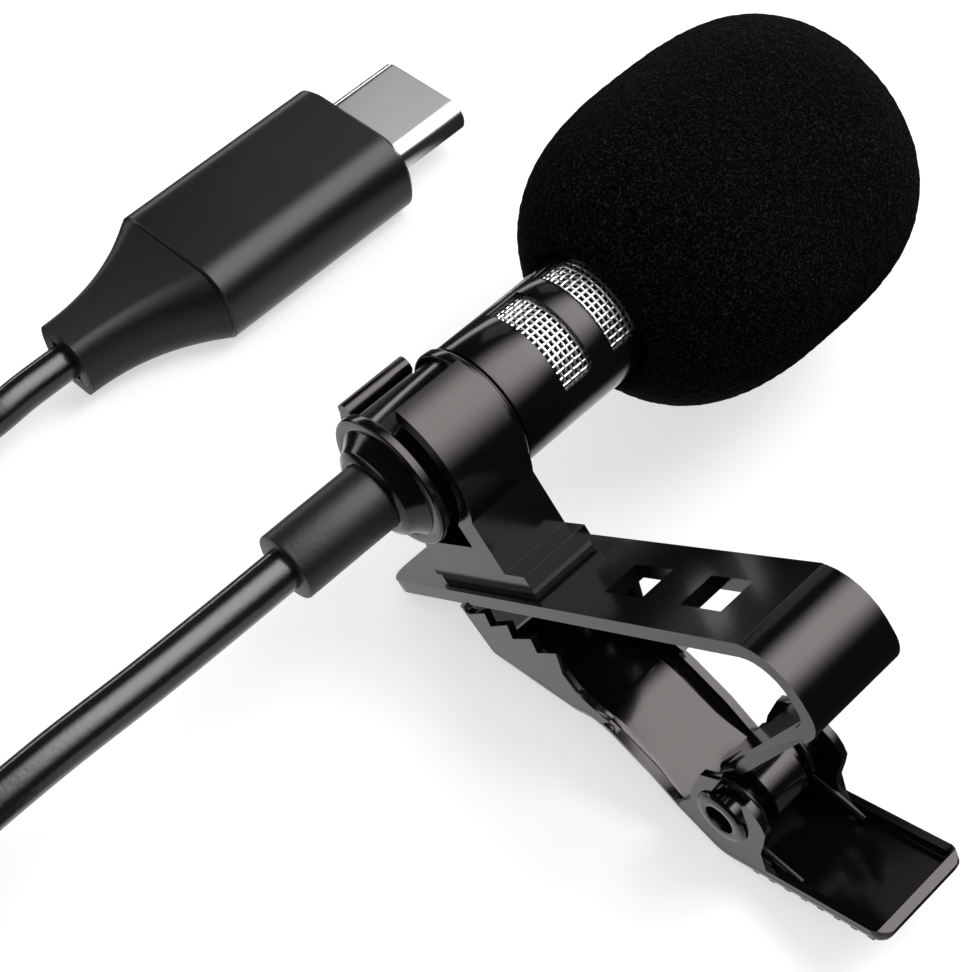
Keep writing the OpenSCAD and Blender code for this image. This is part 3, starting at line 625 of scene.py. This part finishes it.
# ---- Holder ring ----
# An open ring, its block and its foot, cast in one. The foot is riveted to the plate through
# a thin pad.
clip_tilt = math.radians(36.75)
seat = (10.55, 8.45)
clip_place = (Matrix.Translation((capsule_x * MM, ring_y * MM, capsule_z * MM))
              @ Matrix.Rotation(-clip_tilt, 4, "Y") @ Matrix.Scale(MM, 4)
              @ Matrix.Translation((-seat[0], 0, -seat[1])))
holder = carried_over("mic_holder", "holder_ring", 0.16, 3)
holder.data.materials.append(black_plating)
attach(holder, "clip")
pad = carried_over("holder_pad", "foot_pad", 0.04)
pad.data.materials.append(soft_rubber)
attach(pad, "clip")
rivets = carried_over("holder_rivets", "foot_rivets", 0.04)
rivets.data.materials.append(black_plating)
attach(rivets, "clip")

# ---- Clip plate ----
# One strip of spring sheet with two slots, curled under at its end and narrowed to a tongue
# and a barrel round the pivot tube.
plate = carried_over("clip_plate", "plate_strip", 0.22, 4)
plate.data.materials.append(black_plating)
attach(plate, "clip")

# ---- Pivot tube and spring ----
# A short steel tube with both ends flared, and the double torsion spring of oiled wire wound
# round it. The spring's bar lies under the tongue and its legs press on the thumb plate.
pivot = (24.6, -13.4)
pivot_place = (clip_place @ Matrix.Translation((pivot[0], 0, pivot[1]))
               @ Matrix.Rotation(math.pi / 2, 4, "X"))
tube_r, tube_bore_r, flare_start, tube_half = 1.25, 0.95, 3.38, 3.65
tube_end = [(tube_r, flare_start), (1.7, flare_start), (1.75, 3.43), (1.6, 3.6), (1.4, tube_half),
            (tube_bore_r, tube_half)]
other_end = [(radius, -along) for radius, along in reversed(tube_end)]
tube = turned("pivot_rivet", other_end + tube_end + other_end[:1], sides=48)
round_edges(tube, 0.04, corner=40)
placed(tube, pivot_place, "clip", black_plating, "black_metal", "pivot_tube")

oiled_wire = finish("oiled_wire", (0.003, 0.003, 0.003), (0.006, 0.006, 0.006), 0.002,
                    (0.25, 0.35), ior=1.3)
wind_r, wind_y, wind_turns, wind_steps, spring_wire_r = 1.65, (2.6, 1.45), 2, 64, 0.2
tongue_rise, bar_out, bar_up = math.radians(26), 4, 0.95
bar_run_in, bar_step = 0.5, 0.4
tongue = Vector((math.cos(tongue_rise), math.sin(tongue_rise)))
tongue_up = Vector((-tongue.y, tongue.x))
hub = Vector(pivot)
leg_foot = Vector((27.2, -18.17))
bar_at = hub + bar_out * tongue + bar_up * tongue_up


def meets_coil(end, side):
    """The turn at which the straight wire from that end runs into the windings."""
    reach = end - hub
    return math.atan2(reach.y, reach.x) + side * math.acos(wind_r / reach.length)


wind_start = meets_coil(leg_foot, -1)
wind_sweep = meets_coil(bar_at, 1) - wind_turns * 2 * math.pi - wind_start
half = [(leg_foot, wind_y[0])]
for k in range(wind_steps + 1):
    turn = wind_start + wind_sweep * k / wind_steps
    half.append((hub + wind_r * Vector((math.cos(turn), math.sin(turn))),
                 wind_y[0] + (wind_y[1] - wind_y[0]) * k / wind_steps))
half += [(bar_at - bar_run_in * tongue, wind_y[1]), (bar_at, wind_y[1] - bar_step)]
spring_line = [(p.x, y, p.y) for p, y in half] + [(p.x, -y, p.y) for p, y in reversed(half)]
spring_line = [(clip_place @ Vector(p)) / MM for p in spring_line]
spring = wire_piece("pivot_spring", [spring_line], spring_wire_r, 3)
spring.data.materials.append(oiled_wire)
bpy.ops.object.select_all(action="DESELECT")
spring.select_set(True)
bpy.context.view_layer.objects.active = spring
bpy.ops.object.convert(target="MESH")
spring = bpy.context.object
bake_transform(spring)
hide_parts("torsion_spring")

# ---- Lever ----
# The toothed jaw, the channel, the ears and the thumb plate are pressed from one sheet. It turns
# on the pivot tube.
lever = carried_over("clip_lever", "toothed_lever", 0.05)
lever.data.materials.append(black_plating)
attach(lever, "lever")

# Shallow grip ribs across the underside of the thumb plate
rib_count, rib_pitch, rib_wide, rib_long, rib_out, rib_edge = 8, 1.2, 0.5, 6.2, 0.13, 0.1
first_rib = 1.5
thumb_end, thumb_slope = (33.25, -20.75), math.atan2(-3.55, 11.8)
bpy.ops.object.select_all(action="DESELECT")
bpy.ops.mesh.primitive_cube_add(size=1)
ribs = named_primitive("thumb_ribs")
bpy.ops.transform.resize(value=(rib_wide, rib_long, 2 * rib_out))
bpy.ops.mesh.bevel(offset=rib_edge, segments=2, affect="EDGES")
bpy.ops.object.mode_set(mode="OBJECT")
row_of_ribs = ribs.modifiers.new("row", "ARRAY")
row_of_ribs.count = rib_count
row_of_ribs.use_relative_offset = False
row_of_ribs.use_constant_offset = True
row_of_ribs.constant_offset_displace = (-rib_pitch, 0, 0)
bpy.ops.object.modifier_apply(modifier="row")
rib_place = (clip_place @ Matrix.Translation((thumb_end[0], 0, thumb_end[1]))
             @ Matrix.Rotation(-thumb_slope, 4, "Y") @ Matrix.Translation((-first_rib, 0, 0)))
placed(ribs, rib_place, "lever", black_plating, "black_metal")

# ---- Table and light ----
# A white table that runs out of sight, one soft lamp high beyond the windscreen, a small one for
# the plug and a pale room.
table_size, table_drop = 6, 0.00002
bpy.ops.object.select_all(action="DESELECT")
bpy.ops.mesh.primitive_plane_add(size=table_size, location=(0, 0, -table_drop))
table = bpy.context.object
table.name = "table"
table.data.materials.append(bpy.data.materials.new("white_table"))
table.data.materials[0].use_nodes = True


def ramp_node(nodes, links, value, start, end, low=0.0, high=1.0):
    """Goes smoothly from low to high while the value goes from start to end."""
    node = nodes.new("ShaderNodeMapRange")
    node.interpolation_type = "SMOOTHSTEP"
    links.new(value, node.inputs["Value"])
    for socket, number in (("From Min", start), ("From Max", end), ("To Min", low),
                           ("To Max", high)):
        node.inputs[socket].default_value = number
    return node.outputs["Result"]


# The table is bright white with soft shadows. In the metal it shines white only near the object,
# as small white cards would.
nodes, links = table.data.materials[0].node_tree.nodes, table.data.materials[0].node_tree.links
paper = nodes["Principled BSDF"]
paper.inputs["Base Color"].default_value = (0.65, 0.65, 0.65, 1)
paper.inputs["Roughness"].default_value = 0.9
paper.inputs["Specular IOR Level"].default_value = 0.0
paper.inputs["Emission Color"].default_value = (1, 1, 1, 1)
ray = nodes.new("ShaderNodeLightPath")
ground = nodes.new("ShaderNodeNewGeometry")
split = nodes.new("ShaderNodeSeparateXYZ")
links.new(ground.outputs["Position"], split.inputs["Vector"])
x, y = split.outputs["X"], split.outputs["Y"]
reach = math_node(nodes, links, "SQRT", math_node(
    nodes, links, "ADD", math_node(nodes, links, "MULTIPLY", x, x),
    math_node(nodes, links, "MULTIPLY", y, y)))
near, far, near_white, far_white = 0.12, 0.4, 0.55, 1.0
glow = math_node(nodes, links, "MULTIPLY", ray.outputs["Is Camera Ray"],
                 ramp_node(nodes, links, reach, near, far, near_white, far_white))
links.new(glow, paper.inputs["Emission Strength"])


def card(x0, x1, y0, y1, edge=0.003):
    """One inside a rectangle of the table and zero outside it."""
    across = math_node(nodes, links, "MULTIPLY", ramp_node(nodes, links, x, x0 - edge, x0 + edge),
                       ramp_node(nodes, links, x, x1 + edge, x1 - edge))
    along = math_node(nodes, links, "MULTIPLY", ramp_node(nodes, links, y, y0 - edge, y0 + edge),
                      ramp_node(nodes, links, y, y1 + edge, y1 - edge))
    return math_node(nodes, links, "MULTIPLY", across, along)


beside_capsule, beside_clip = (-0.049, -0.003, -0.08, 0.012), (-0.02, 0.06, -0.04, -0.0145)
cards = math_node(nodes, links, "MAXIMUM", card(*beside_capsule), card(*beside_clip))
card_white, dim_shine = 1.05, 0.03
shine = nodes.new("ShaderNodeEmission")
links.new(math_node(nodes, links, "ADD", math_node(nodes, links, "MULTIPLY", cards, card_white),
                    dim_shine), shine.inputs["Strength"])
table_look = nodes.new("ShaderNodeMixShader")
links.new(ray.outputs["Is Glossy Ray"], table_look.inputs["Fac"])
links.new(paper.outputs["BSDF"], table_look.inputs[1])
links.new(shine.outputs["Emission"], table_look.inputs[2])
links.new(table_look.outputs["Shader"], nodes["Material Output"].inputs["Surface"])


def lamp(name, place, aim, size, power, mirrored):
    """A square soft lamp. One that isn't mirrored lights surfaces without shining in them."""
    light = bpy.data.lights.new(name, "AREA")
    light.shape = "RECTANGLE"
    light.size = light.size_y = size
    light.energy = power
    lamp_object = bpy.data.objects.new(name, light)
    scene.collection.objects.link(lamp_object)
    lamp_object.location = place
    lamp_object.rotation_euler = (Vector(aim) - Vector(place)).to_track_quat("-Z", "Y").to_euler()
    lamp_object.visible_glossy = mirrored


lamp("soft_box", place=(0.125, 0.172, 0.339), aim=(0, 0, 0.01), size=0.2, power=0.75,
     mirrored=False)
lamp("plug_card", place=(-0.14, 0.1, 0.11), aim=(-0.044, 0.018, 0.004), size=0.07, power=0.0095,
     mirrored=True)

world = bpy.data.worlds.new("room")
scene.world = world
world.use_nodes = True
nodes, links = world.node_tree.nodes, world.node_tree.links
room = nodes["Background"]
room.inputs["Color"].default_value = (0.65, 0.65, 0.66, 1)
ray = nodes.new("ShaderNodeLightPath")
backdrop = nodes.new("ShaderNodeBackground")
backdrop.inputs["Color"].default_value = (1, 1, 1, 1)
# What shines in the surfaces: a wide soft box overhead, a bright strip low on the left and a
# dim ceiling. The box is measured by its slant from straight up, in radians towards +X.
mirrored = nodes.new("ShaderNodeBackground")
where = nodes.new("ShaderNodeTexCoord")
split = nodes.new("ShaderNodeSeparateXYZ")
links.new(where.outputs["Generated"], split.inputs["Vector"])
x, y, z = (split.outputs[axis] for axis in "XYZ")
slant = math_node(nodes, links, "ARCTAN2", x, z)
box_rise = ramp_node(nodes, links, slant, math.radians(-35), math.radians(5))
box_fall = ramp_node(nodes, links, slant, math.radians(75), math.radians(25))
box_near = ramp_node(nodes, links, y, -0.25, 0.1)
box = math_node(nodes, links, "MULTIPLY",
                math_node(nodes, links, "MULTIPLY", box_rise, box_fall), box_near)
strip = math_node(nodes, links, "MULTIPLY", ramp_node(nodes, links, z, 0.22, 0.15),
                  ramp_node(nodes, links, x, 0.0, -0.2))
box_strength, strip_strength = 9.0, 3.2
light = math_node(nodes, links, "ADD", math_node(nodes, links, "MULTIPLY", box, box_strength),
                  math_node(nodes, links, "MULTIPLY", strip, strip_strength))
links.new(math_node(nodes, links, "ADD", light, dim_shine), mirrored.inputs["Strength"])
mirrored.inputs["Color"].default_value = (1, 1, 1, 1)
choice = nodes.new("ShaderNodeMixShader")
links.new(ray.outputs["Is Glossy Ray"], choice.inputs["Fac"])
links.new(room.outputs["Background"], choice.inputs[1])
links.new(mirrored.outputs["Background"], choice.inputs[2])
seen = nodes.new("ShaderNodeMixShader")
links.new(ray.outputs["Is Camera Ray"], seen.inputs["Fac"])
links.new(choice.outputs["Shader"], seen.inputs[1])
links.new(backdrop.outputs["Background"], seen.inputs[2])
links.new(seen.outputs["Shader"], nodes["World Output"].inputs["Surface"])
